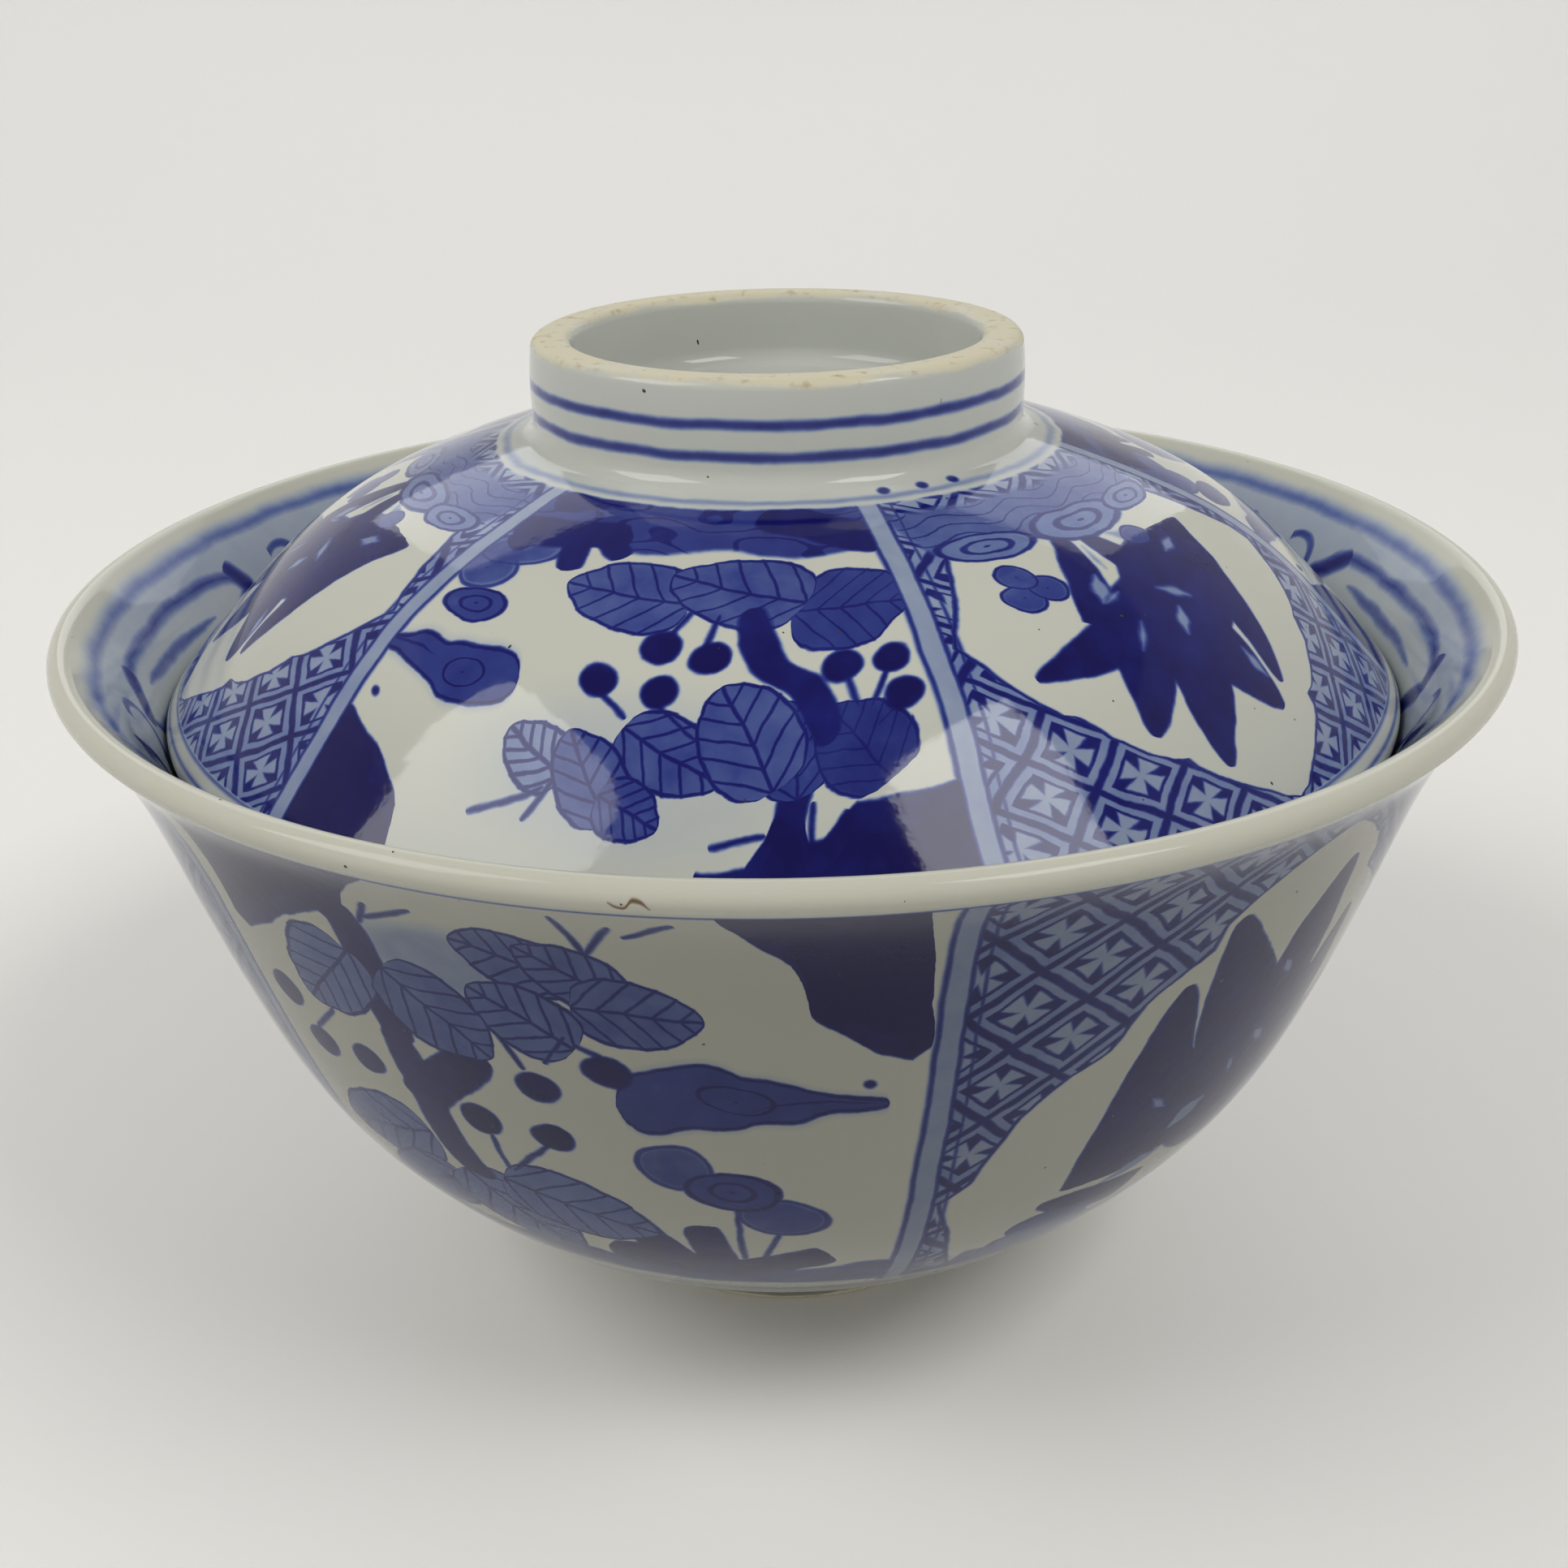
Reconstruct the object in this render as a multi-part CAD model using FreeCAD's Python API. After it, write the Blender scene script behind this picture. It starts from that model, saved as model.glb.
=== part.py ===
"""Lidded porcelain rice bowl: a bowl on a turned foot ring, and a domed lid that drops inside the mouth.

Two fired pieces, each turned about Z. Every profile is drawn as (radius, height) in millimetres with the
foot's resting face at height 0, and is swept once round the axis.
"""

import FreeCAD, Part

import math
import os

# Bowl
MOUTH_RADIUS = 59.0
BOWL_HEIGHT = 62.3
LIP_RADIUS = 1.05  # half the rolled lip's thickness
LIP_LEAN = 40.0  # degrees from upright, outwards
FOOT_RADIUS = 20.4
FOOT_ROOT = 5.4  # where the wall leaves the foot ring
FOOT_WIDTH = 3.0  # radial, at the resting face
FOOT_TAPER = 0.5  # the ring is this much wider at its root, on each side
UNDERSIDE = 5.8  # the recess within the foot ring
INSIDE_FLOOR = 9.9
BASIN_RADIUS = 24.0  # the inside floor is a shallow dish out to here
BASIN_RISE = 2.4
FOOT_EDGE_ROUND = 0.6
FOOT_ROOT_ROUND = 1.2

# Lid
LID_RADIUS = 51.38
LID_RIM_HEIGHT = 53.9  # centre of the rounded rim above the bowl's resting face
LID_RIM_RADIUS = 1.25
LID_RIM_LEAN = 36.0
GRIP_RADIUS = 19.75  # at the top edge
GRIP_BULGE = 0.3  # how far the ring's outside swells between its root and its top
GRIP_WIDTH = 3.25
GRIP_TOP = 82.0
GRIP_ROOT = 74.4  # where the ring leaves the dome
WELL_FLOOR = 75.8
CROWN_THICKNESS = 3.6
GRIP_EDGE_ROUND = 0.9
GRIP_ROOT_ROUND = 1.6

AXIS = FreeCAD.Vector(0, 0, 1)
ORIGIN = FreeCAD.Vector(0, 0, 0)


def at(radius, height):
    """A profile point, in the XZ plane."""
    return FreeCAD.Vector(radius, 0, height)


def heading(degrees, up):
    """The unit direction that leans outwards by an angle from upright, going up or down."""
    lean = math.radians(degrees)
    return at(math.sin(lean), up * math.cos(lean))


def spline(points, start, end):
    """A smooth curve through the points that leaves along start and arrives along end.

    Its parameter is the distance from point to point, so unit tangents keep it free of kinks at the ends.
    """
    start.normalize()
    end.normalize()
    curve = Part.BSplineCurve()
    curve.interpolate(Points=[at(*p) for p in points], InitialTangent=start, FinalTangent=end, Scale=False)
    return curve.toShape()


def line(a, b):
    return Part.LineSegment(at(*a), at(*b)).toShape()


def turned(edges):
    """The solid swept by a closed profile going once round the axis."""
    face = Part.Face(Part.Wire(Part.__sortEdges__(edges)))
    solid = face.revolve(ORIGIN, AXIS, 360)
    return solid if solid.Volume > 0 else solid.reversed()


def rounded(solid, corners):
    """Rounds the circular edges that pass through the given (radius, height) corners, by each one's radius."""
    for radius, height, rounding in corners:
        near = [
            e for e in solid.Edges
            if not e.Degenerated
            and e.BoundBox.ZLength < 0.01
            and abs(e.BoundBox.ZMax - height) < 0.02
            and abs(e.BoundBox.XMax - radius) < 0.02
        ]
        solid = solid.makeFillet(rounding, near).Solids[0]
    return solid


def rolled_edge(centre, radius, lean, up):
    """A round edge on a wall: its outer end, its tip, its inner end, and the wall's direction there."""
    along = heading(lean, up)
    outward = at(along.z * up, -along.x * up)
    return centre + outward * radius, centre + along * radius, centre - outward * radius, along


def bowl():
    """The bowl's body with its flared, rolled lip and its foot ring."""
    lip_centre = at(MOUTH_RADIUS - LIP_RADIUS, BOWL_HEIGHT - LIP_RADIUS)
    outer_end, tip, inner_end, up_the_lip = rolled_edge(lip_centre, LIP_RADIUS, LIP_LEAN, 1)
    root_outside = FOOT_RADIUS + FOOT_TAPER
    root_inside = FOOT_RADIUS - FOOT_WIDTH - FOOT_TAPER
    basin_edge = INSIDE_FLOOR + BASIN_RISE
    basin_centre = INSIDE_FLOOR + (BASIN_RADIUS**2 + BASIN_RISE**2) / (2 * BASIN_RISE)
    basin_curve = basin_centre - INSIDE_FLOOR
    basin_half_way = basin_centre - math.sqrt(basin_curve**2 - BASIN_RADIUS**2 / 4)
    outer_wall = spline(
        [
            (root_outside, FOOT_ROOT),
            (24.8, 6.8),
            (30.2, 9.7),
            (35.4, 13.8),
            (39.3, 17.9),
            (43.7, 23.8),
            (48.9, 35.6),
            (52.6, 47.4),
            (55.4, 55.5),
            (57.0, 58.4),
            (outer_end.x, outer_end.z),
        ],
        at(1.0, 0.32),
        up_the_lip,
    )
    inner_wall = spline(
        [
            (inner_end.x, inner_end.z),
            (55.1, 59.7),
            (53.0, 56.6),
            (49.9, 48.1),
            (46.1, 36.4),
            (41.5, 26.2),
            (38.2, 21.6),
            (33.4, 16.9),
            (28.8, 14.0),
            (BASIN_RADIUS, basin_edge),
        ],
        up_the_lip * -1,
        at(basin_edge - basin_centre, -BASIN_RADIUS),
    )
    basin = Part.Arc(
        at(BASIN_RADIUS, basin_edge),
        at(BASIN_RADIUS / 2, basin_half_way),
        at(0, INSIDE_FLOOR),
    )
    solid = turned(
        [
            line((0, UNDERSIDE), (root_inside, UNDERSIDE)),
            line((root_inside, UNDERSIDE), (FOOT_RADIUS - FOOT_WIDTH, 0)),
            line((FOOT_RADIUS - FOOT_WIDTH, 0), (FOOT_RADIUS, 0)),
            line((FOOT_RADIUS, 0), (root_outside, FOOT_ROOT)),
            outer_wall,
            Part.Arc(outer_end, tip, inner_end).toShape(),
            inner_wall,
            basin.toShape(),
            line((0, INSIDE_FLOOR), (0, UNDERSIDE)),
        ]
    )
    return rounded(
        solid,
        [
            (FOOT_RADIUS, 0, FOOT_EDGE_ROUND),
            (FOOT_RADIUS - FOOT_WIDTH, 0, FOOT_EDGE_ROUND),
            (root_outside, FOOT_ROOT, FOOT_ROOT_ROUND),
            (root_inside, UNDERSIDE, FOOT_ROOT_ROUND),
        ],
    )


def lid():
    """The domed lid with the ring that it is lifted by, and stands on when it is turned over."""
    rim_centre = at(LID_RADIUS - LID_RIM_RADIUS, LID_RIM_HEIGHT)
    outer_end, tip, inner_end, down_the_rim = rolled_edge(rim_centre, LID_RIM_RADIUS, LID_RIM_LEAN, -1)
    well_radius = GRIP_RADIUS - GRIP_WIDTH
    crown_inside = WELL_FLOOR - CROWN_THICKNESS
    root_radius = GRIP_RADIUS + GRIP_BULGE / 2
    bulge = at(GRIP_RADIUS + GRIP_BULGE, (GRIP_ROOT + GRIP_TOP) / 2)
    outer_dome = spline(
        [
            (root_radius, GRIP_ROOT),
            (29.5, 71.5),
            (35.4, 69.0),
            (41.3, 65.0),
            (46.55, 59.8),
            (outer_end.x, outer_end.z),
        ],
        at(1.0, -0.22),
        down_the_rim,
    )
    inner_dome = spline(
        [
            (inner_end.x, inner_end.z),
            (44.4, 58.3),
            (38.6, 63.2),
            (31.0, 67.4),
            (20.0, 70.7),
            (10.0, 71.9),
            (0, crown_inside),
        ],
        down_the_rim * -1,
        at(-1, 0),
    )
    solid = turned(
        [
            line((0, crown_inside), (0, WELL_FLOOR)),
            line((0, WELL_FLOOR), (well_radius, WELL_FLOOR)),
            line((well_radius, WELL_FLOOR), (well_radius, GRIP_TOP)),
            line((well_radius, GRIP_TOP), (GRIP_RADIUS, GRIP_TOP)),
            Part.Arc(at(GRIP_RADIUS, GRIP_TOP), bulge, at(root_radius, GRIP_ROOT)).toShape(),
            outer_dome,
            Part.Arc(outer_end, tip, inner_end).toShape(),
            inner_dome,
        ]
    )
    return rounded(
        solid,
        [
            (GRIP_RADIUS, GRIP_TOP, GRIP_EDGE_ROUND),
            (well_radius, GRIP_TOP, GRIP_EDGE_ROUND),
            (well_radius, WELL_FLOOR, GRIP_ROOT_ROUND),
            (root_radius, GRIP_ROOT, GRIP_ROOT_ROUND),
        ],
    )


def main():
    os.makedirs("parts", exist_ok=True)
    pieces = {"bowl": bowl(), "lid": lid()}
    for name, shape in pieces.items():
        shape.exportStep(f"parts/{name}.step")
        box = shape.BoundBox
        print(name, "valid", shape.isValid(), "volume", round(shape.Volume), "z", box.ZMin, box.ZMax)
    print("gap at the seat", round(pieces["bowl"].distToShape(pieces["lid"])[0], 3))


main()
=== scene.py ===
"""Looks of a lidded blue-and-white rice bowl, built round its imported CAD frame.

Each piece is its CAD node's own outline turned once round Z, with UV maps that the painting is drawn in:
"turn" holds the angle in radians from the front and the distance in mm along the outline from the piece's
widest circle, positive outside and negative inside, and "reach" holds the radius and height in mm.
The painting is a set of shader nodes that add up to a density of cobalt between 0 and 1 under the glaze.
"""

import math

import bpy
import numpy as np
from mathutils import Matrix, Vector


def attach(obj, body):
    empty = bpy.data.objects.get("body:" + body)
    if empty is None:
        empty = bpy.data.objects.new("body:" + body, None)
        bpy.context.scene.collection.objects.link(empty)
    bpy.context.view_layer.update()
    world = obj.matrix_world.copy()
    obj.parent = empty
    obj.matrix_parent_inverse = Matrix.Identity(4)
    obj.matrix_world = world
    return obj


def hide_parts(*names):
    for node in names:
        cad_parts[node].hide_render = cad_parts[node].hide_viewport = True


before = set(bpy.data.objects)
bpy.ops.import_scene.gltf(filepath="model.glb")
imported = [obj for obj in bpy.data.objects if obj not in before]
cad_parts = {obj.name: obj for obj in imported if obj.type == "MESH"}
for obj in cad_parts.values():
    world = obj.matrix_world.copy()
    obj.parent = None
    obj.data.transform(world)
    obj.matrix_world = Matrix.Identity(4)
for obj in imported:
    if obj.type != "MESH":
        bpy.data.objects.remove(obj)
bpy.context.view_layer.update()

MM = 0.001
COLUMNS = 288  # of vertices round each piece
LONGEST_SPAN = 1.2  # mm along the outline, between two rows of vertices
SEAM_DIGITS = 7  # decimals of a metre that tell two places on the seam apart
ON_AXIS = 1e-4  # mm from the turning axis that still count as on it
BAKE_SECTORS = 2  # the baked picture holds this many sectors of the piece, one above the other
BAKE_MARGIN = 0.006  # share of the baked picture left clear round each sector
PAINTED_FROM = -1  # mm from the widest circle where the painted part begins
PANELS = 3  # pairs of painted panels round each piece
HALF_PANEL = math.pi / PANELS / 2
EDGE = 0.24  # mm, half the softness of a painted edge

LID_LEAFY_ANGLE = math.radians(-14.5)
BOWL_LEAFY_ANGLE = math.radians(-19)


# ---------------------------------------------------------------- meshes


def seam_outline(node):
    """The node's outline in mm in its XZ half plane, in order, with its unit normals."""
    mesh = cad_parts[node].data
    points = np.zeros((len(mesh.vertices), 3), np.float32)
    mesh.vertices.foreach_get("co", points.ravel())
    corner_normals = np.array([c.vector for c in mesh.corner_normals])
    corner_vertices = np.zeros(len(mesh.loops), int)
    mesh.loops.foreach_get("vertex_index", corner_vertices)
    normals = np.zeros((len(points), 3))
    np.add.at(normals, corner_vertices, corner_normals)
    close = 10**-SEAM_DIGITS
    on_seam = np.flatnonzero((abs(points[:, 1]) < close) & (points[:, 0] > -close))
    places, merged = np.unique(points[on_seam][:, [0, 2]].round(SEAM_DIGITS), axis=0, return_inverse=True)
    summed = np.zeros((len(places), 2))
    np.add.at(summed, merged.ravel(), normals[on_seam][:, [0, 2]])
    order = seam_order(mesh, dict(zip(on_seam.tolist(), merged.ravel().tolist())), len(places))
    line = places[order] / MM
    facing = summed[order] / np.linalg.norm(summed[order], axis=1)[:, None]
    chords = np.gradient(line, axis=0)
    if np.sum(chords[:, 1] * facing[:, 0] - chords[:, 0] * facing[:, 1]) < 0:
        line, facing = line[::-1], facing[::-1]
    return reach_axis(line, facing)


def seam_order(mesh, place_of, count):
    """The seam's places in order from one end. place_of gives a vertex's place, out of count places."""
    beside = {place: set() for place in range(count)}
    for edge in mesh.edges:
        a, b = (place_of.get(v) for v in edge.vertices)
        if a is not None and b is not None and a != b:
            beside[a].add(b)
            beside[b].add(a)
    order = [next(place for place in beside if len(beside[place]) == 1)]
    while True:
        onward = [place for place in beside[order[-1]] if place not in order]
        if not onward:
            return order
        order.append(onward[0])


def reach_axis(line, facing):
    """Carries each end of an outline that stops on a flat face on to the turning axis."""
    for end in (0, -1):
        if line[end][0] > ON_AXIS:
            centre = [[0, line[end][1]]]
            flat = [facing[end]]
            line = np.concatenate([centre, line] if end == 0 else [line, centre])
            facing = np.concatenate([flat, facing] if end == 0 else [facing, flat])
    return line, facing


def smooth_outline(line, facing):
    """The same outline in short spans that follow its curvature."""
    tangents = np.stack([-facing[:, 1], facing[:, 0]], axis=1)
    rows = []
    for a, b, leave, arrive in zip(line, line[1:], tangents, tangents[1:]):
        length = np.linalg.norm(b - a)
        spans = math.ceil(length / LONGEST_SPAN)
        for t in np.arange(spans) / spans:
            rows.append(
                a * (2 * t**3 - 3 * t**2 + 1)
                + b * (3 * t**2 - 2 * t**3)
                + leave * length * (t**3 - 2 * t**2 + t)
                + arrive * length * (t**3 - t**2)
            )
    rows.append(line[-1])
    rows = np.array(rows)
    rows[[0, -1], 0] = 0
    return rows


def turned_piece(name, outside_first, painted_to, bake_share):
    """A piece made by turning the outline of the CAD node of that name, which rides on the body of that name.

    outside_first says which way the outline runs. The outside is painted as far as painted_to, in mm from
    the widest circle, and has bake_share times the room of the plain rest in the baked picture.
    """
    rows = smooth_outline(*seam_outline(name))
    travelled = np.concatenate([[0], np.cumsum(np.linalg.norm(np.diff(rows, axis=0), axis=1))])
    distance = travelled - travelled[np.argmax(rows[:, 0])]
    if outside_first:
        distance = -distance
    faces, corners = turned_faces(len(rows))
    mesh = bpy.data.meshes.new(name + "_turned")
    mesh.from_pydata(turned_vertices(rows), [], faces)
    mesh.shade_smooth()
    middles = (distance[1:] + distance[:-1]) / 2
    painted = (middles > PAINTED_FROM) & (middles < painted_to)
    room = np.concatenate([[0], np.cumsum(np.diff(travelled) * np.where(painted, bake_share, 1.0))])
    add_uv_maps(mesh, corners, rows, distance, room / room[-1])
    piece = bpy.data.objects.new(name + "_porcelain", mesh)
    bpy.context.scene.collection.objects.link(piece)
    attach(piece, name)
    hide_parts(name)
    return piece


def turned_vertices(rows):
    """A ring of vertices for each row of the outline between its ends, then one vertex for each end."""
    angles = np.linspace(-math.pi, math.pi, COLUMNS + 1)[:-1]
    ring = np.stack([np.sin(angles), -np.cos(angles)], axis=1)
    inner = rows[1:-1]
    around = np.repeat(inner[:, :1], COLUMNS, axis=1)[..., None] * ring
    heights = np.repeat(inner[:, 1:], COLUMNS, axis=1)[..., None]
    vertices = np.concatenate([around, heights], axis=2).reshape(-1, 3)
    ends = [[0, 0, rows[0, 1]], [0, 0, rows[-1, 1]]]
    return (np.concatenate([vertices, ends]) * MM).tolist()


def turned_faces(row_count):
    """The faces between the vertices of turned_vertices, and each face's corners as (row, column)."""
    last = row_count - 1
    first_pole = (last - 1) * COLUMNS
    last_pole = first_pole + 1
    end = (last - 2) * COLUMNS
    faces = []
    corners = []
    for c in range(COLUMNS):
        d = (c + 1) % COLUMNS
        faces.append((first_pole, d, c))
        corners.append(((0, c + 0.5), (1, c + 1), (1, c)))
        for r in range(last - 2):
            low, high = r * COLUMNS, (r + 1) * COLUMNS
            faces.append((low + c, low + d, high + d, high + c))
            corners.append(((r + 1, c), (r + 1, c + 1), (r + 2, c + 1), (r + 2, c)))
        faces.append((end + c, end + d, last_pole))
        corners.append(((last - 1, c), (last - 1, c + 1), (last, c + 0.5)))
    return faces, corners


def add_uv_maps(mesh, corners, rows, distance, bake_height):
    """Adds the painting's two maps in mm and radians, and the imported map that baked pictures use."""
    row = np.array([c[0] for face in corners for c in face])
    column = np.array([c[1] for face in corners for c in face])
    face_start = np.array([min(c[1] for c in face) for face in corners for _ in face])
    sector_columns = COLUMNS / BAKE_SECTORS
    sector = np.floor(face_start / sector_columns)
    across = (column - sector * sector_columns) / sector_columns
    room = 1 / BAKE_SECTORS - 2 * BAKE_MARGIN
    maps = {
        "OFBake": (
            BAKE_MARGIN + across * (1 - 2 * BAKE_MARGIN),
            sector / BAKE_SECTORS + BAKE_MARGIN + bake_height[row] * room,
        ),
        "turn": (-math.pi + column * 2 * math.pi / COLUMNS, distance[row]),
        "reach": (rows[row, 0], rows[row, 1]),
    }
    for name, (u, v) in maps.items():
        layer = mesh.uv_layers.new(name=name)
        layer.data.foreach_set("uv", np.stack([u, v], axis=1).astype(np.float32).ravel())


# ---------------------------------------------------------------- node helpers

# Brush profiles: a share of the way along the mark, and its share of the half width there. The -1.2 is in mm
# and closes the mark at its ends.
ROUND = ((0, -1.2), (0.03, 0.5), (0.1, 0.9), (0.25, 1), (0.75, 1), (0.9, 0.9), (0.97, 0.5), (1, -1.2))
TAPER = ((0, -1.2), (0.02, 0.12), (0.3, 0.8), (0.6, 1), (0.85, 0.7), (0.98, 0.15), (1, -1.2))
SPIKE = ((0, -1.2), (0.015, 0.1), (0.2, 0.45), (0.6, 0.85), (0.98, 1), (1, -1.2))
SLIT = ((0, -1.2), (0.03, 0.02), (0.25, 0.5), (0.5, 0.95), (0.75, 0.5), (0.97, 0.02), (1, -1.2))
LEAF = (
    (0, -1.2), (0.015, 0.35), (0.15, 0.85), (0.38, 1), (0.62, 0.9), (0.85, 0.52), (0.985, 0.06),
    (1, -1.2),
)
MOTH = (
    (0, -1.2), (0.02, 0.1), (0.2, 0.26), (0.36, 0.62), (0.5, 0.74), (0.64, 1), (0.84, 0.95), (0.95, 0.6),
    (1, -1.2),
)
VEINS = 5  # on each side of a leaf
TINY = 1e-9  # weights smaller than this add nothing
TONES = {  # density of cobalt in each kind of brushwork
    "limb": 0.9, "trunk": 0.87, "stem": 0.84, "vein": 0.8, "berry": 0.97,
    "rock": 0.93, "rock_heart": 1.0, "speck": 0.9, "water": 0.62, "ripple": 0.84,
    "moth_halo": 0.12, "moth": 0.62, "moth_vein": 0.84, "moth_line": 0.9,
    "bloom": 0.56, "bloom_line": 0.66, "trefoil_line": 0.8, "eye": 0.6, "eye_line": 0.9, "grass": 0.92,
    "spike": 0.93, "mound": 0.9, "chink": 0.3, "border": 0.82,
    "ground": 0.3, "lattice": 0.84, "square": 0.84, "petal": 0.24,
    "bank": 0.46, "bank_ripple": 0.74, "scroll": 0.36, "scroll_line": 0.76,
}


class Painting:
    """Lays brushwork over brushwork as shader nodes. ink is the density of cobalt so far."""

    def __init__(self, tree, paper=None):
        self.tree = tree
        self.paper = paper
        self.ink = None

    def node(self, kind, *inputs, **settings):
        made = self.tree.nodes.new("ShaderNode" + kind)
        for setting, value in settings.items():
            setattr(made, setting, value)
        for socket, value in zip(made.inputs, inputs):
            if isinstance(value, bpy.types.NodeSocket):
                self.tree.links.new(value, socket)
            elif value is not None:
                socket.default_value = value
        return made

    def math(self, operation, *values):
        return self.node("Math", *values, operation=operation).outputs[0]

    def hypotenuse(self, a, b):
        return self.math("SQRT", self.math("MULTIPLY_ADD", b, b, self.math("MULTIPLY", a, a)))

    def weigh(self, a, b, constant):
        """x times a, plus y times b, plus a constant."""
        x, y = self.paper
        if abs(b) < TINY:
            return self.math("MULTIPLY_ADD", x, a, constant)
        if abs(a) < TINY:
            return self.math("MULTIPLY_ADD", y, b, constant)
        return self.math("MULTIPLY_ADD", x, a, self.math("MULTIPLY_ADD", y, b, constant))

    def place(self, origin, angle, size):
        """The paper's x and y seen from a frame at origin, turned by angle and measured in units of size."""
        c, s = math.cos(angle), math.sin(angle)
        (x, y), (w, h) = origin, size
        along = self.weigh(c / w, s / w, -(x * c + y * s) / w)
        across = self.weigh(-s / h, c / h, (x * s - y * c) / h)
        return along, across

    def wave(self, value, rate):
        """A sine wave of a value in mm, at a rate in radians per mm."""
        return self.math("SINE", self.math("MULTIPLY", value, rate))

    def curve(self, value, knots, sharp=False):
        """A function of a value from 0 to 1 through the given knots, level beyond both ends."""
        made = self.node("FloatCurve", 1.0, value)
        made.mapping.use_clip = False
        made.mapping.extend = "HORIZONTAL"
        points = made.mapping.curves[0].points
        while len(points) < len(knots):
            points.new(0.5, 0.5)
        for point, knot in zip(points, knots):
            point.location = knot
            point.handle_type = "VECTOR" if sharp else "AUTO_CLAMPED"
        made.mapping.update()
        return made.outputs[0]

    def fade(self, value, none, full):
        """0 where value is at none, rising smoothly to 1 at full."""
        return self.node("MapRange", value, none, full, interpolation_type="SMOOTHSTEP").outputs[0]

    def inside(self, distance, soft=EDGE):
        return self.fade(distance, soft, -soft)

    def hairline(self, distance, half_width, soft=EDGE):
        """1 on the outline of a shape, by its signed distance."""
        return self.fade(self.math("ABSOLUTE", distance), half_width + soft, half_width - soft)

    def lay(self, tone, mask):
        """Paints a tone over what is there."""
        made = self.node("Mix", mask, None, self.ink, tone, data_type="FLOAT")
        self.ink = made.outputs[0]

    def deepen(self, tone, mask):
        """Adds a tone that only darkens."""
        self.ink = self.math("MAXIMUM", self.ink, self.math("MULTIPLY", mask, tone))

    def noise(self, scale, detail):
        """A noise of the surface itself, from 0 to 1, with features of about 1 / scale metres."""
        where = self.node("TexCoord").outputs["Object"]
        made = self.node("TexNoise", where, None, scale, detail)
        return made.outputs["Fac"]

    def stroke(self, start, end, half_width, profile, bend=None):
        """Signed distance in mm to a brush stroke from start to end."""
        dx, dy = end[0] - start[0], end[1] - start[1]
        along, across = self.place(start, math.atan2(dy, dx), (math.hypot(dx, dy), 1))
        if bend:
            across = self.math("SUBTRACT", across, self.curve(along, bend))
        half_width_here = self.curve(along, self.widths(half_width, profile))
        return self.math("SUBTRACT", self.math("ABSOLUTE", across), half_width_here)

    def widths(self, half_width, profile):
        """A brush mark's half width along it in mm, below zero at its ends so that they close."""
        return [(at, share * half_width if share > 0 else share) for at, share in profile]

    def oval(self, centre, half_sizes, angle=0.0):
        """How many times its own radius a point is from an oval's centre."""
        return self.hypotenuse(*self.place(centre, angle, half_sizes))

    def disc(self, tone, centre, half_sizes, angle=0.0, soft=EDGE):
        share = soft / min(half_sizes)
        self.lay(tone, self.fade(self.oval(centre, half_sizes, angle), 1 + share, 1 - share))

    def rings(self, tone, share, count):
        """Thin outlines at the oval's edge and evenly inside it. share is what oval() gives."""
        nearest = self.math("WRAP", share, 1.5 / count, 0.5 / count)
        off_ring = self.math("ABSOLUTE", self.math("ADD", nearest, -1 / count))
        line = self.math("MULTIPLY", self.fade(off_ring, 0.17, 0.03), self.fade(share, 1.25, 1.1))
        self.deepen(tone, line)

    def blade(self, tone, start, end, half_width, profile, bend=None, soft=EDGE):
        self.lay(tone, self.inside(self.stroke(start, end, half_width, profile, bend), soft))

    def leaf(self, base, tip, half_width, tone):
        """A leaf with a washed body, a dark outline and slanting veins."""
        dx, dy = tip[0] - base[0], tip[1] - base[1]
        length = math.hypot(dx, dy)
        along, across = self.place(base, math.atan2(dy, dx), (length, 1))
        off_rib = self.math("ABSOLUTE", across)
        body = self.math("SUBTRACT", off_rib, self.curve(along, self.widths(half_width, LEAF)))
        slanted = self.math("MULTIPLY_ADD", off_rib, -0.85 / length, along)
        off_vein = self.math("MULTIPLY", self.math("PINGPONG", slanted, 0.5 / VEINS), length)
        off_line = self.math("MINIMUM", self.math("MINIMUM", off_vein, off_rib), self.math("ABSOLUTE", body))
        self.lay(tone, self.inside(body))
        line = self.math("MULTIPLY", self.fade(off_line, 0.36, 0.04), self.fade(body, 0.34, 0.1))
        self.deepen(TONES["vein"], line)


# ---------------------------------------------------------------- the painted panels

# Every panel is drawn in mm along the surface, x to the right and y away from the rim, centred on x = 0.

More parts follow.
